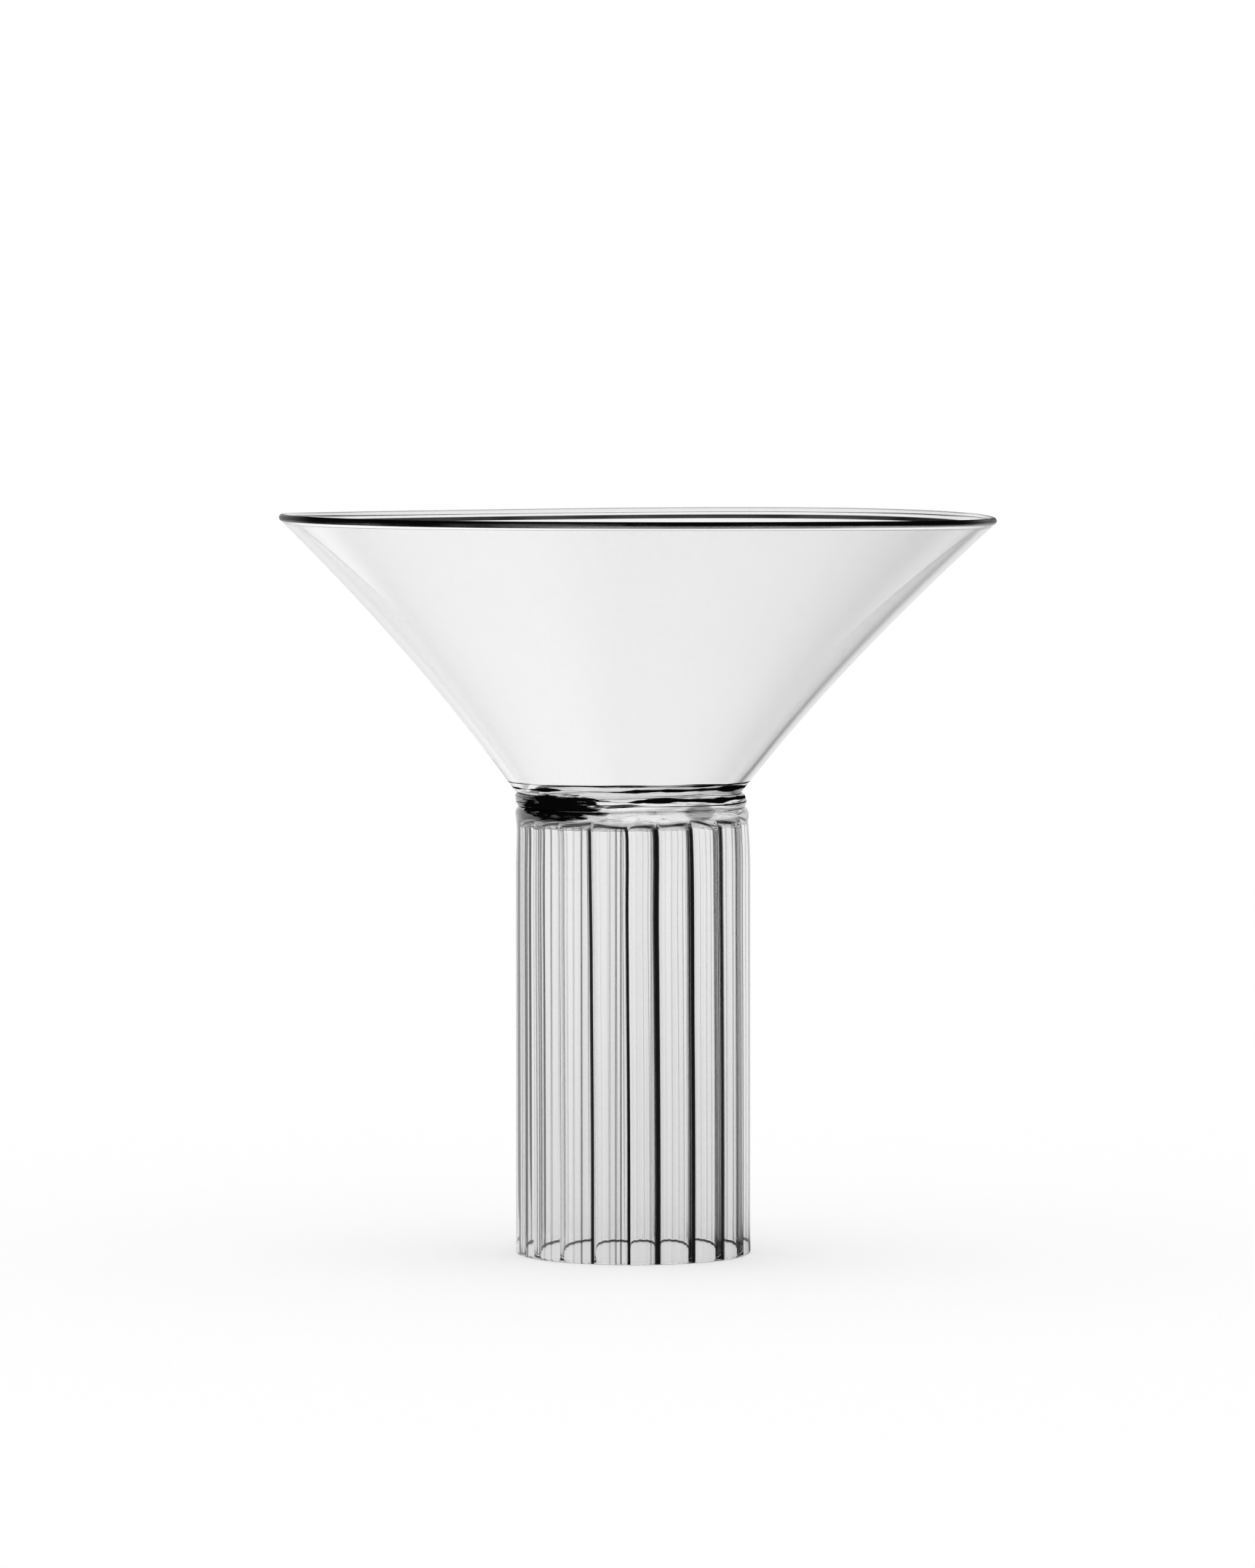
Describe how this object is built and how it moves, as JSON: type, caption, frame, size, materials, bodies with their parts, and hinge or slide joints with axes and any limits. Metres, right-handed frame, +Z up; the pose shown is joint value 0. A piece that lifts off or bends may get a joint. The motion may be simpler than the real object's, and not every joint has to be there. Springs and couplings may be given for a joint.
{
  "type": "cocktail glass",
  "caption": "Clear cocktail glass: a wide cone-shaped bowl with a rounded rim, fused onto a hollow fluted tube that serves as stem and foot.",
  "frame": {"origin": "centre of the foot, on the surface the glass stands on", "axes": "+Z up along the stem's axis, from the foot to the rim; X and Y are alike, and +X passes through one of the ridges inside the stem"},
  "size_m": [0.11, 0.11, 0.1134],
  "materials": {
    "stem_glass": "clear fluted borosilicate glass, drawn tubing, flame-polished foot",
    "collar_glass": "clear melted glass, slightly rippled by the flame",
    "bowl_glass": "clear thin blown borosilicate glass, fire-polished rim bead"
  },
  "bodies": {
    "root": {"fluted_stem": "stem_glass", "fused_collar": "collar_glass", "bowl": "bowl_glass"}
  },
  "joints": []
}
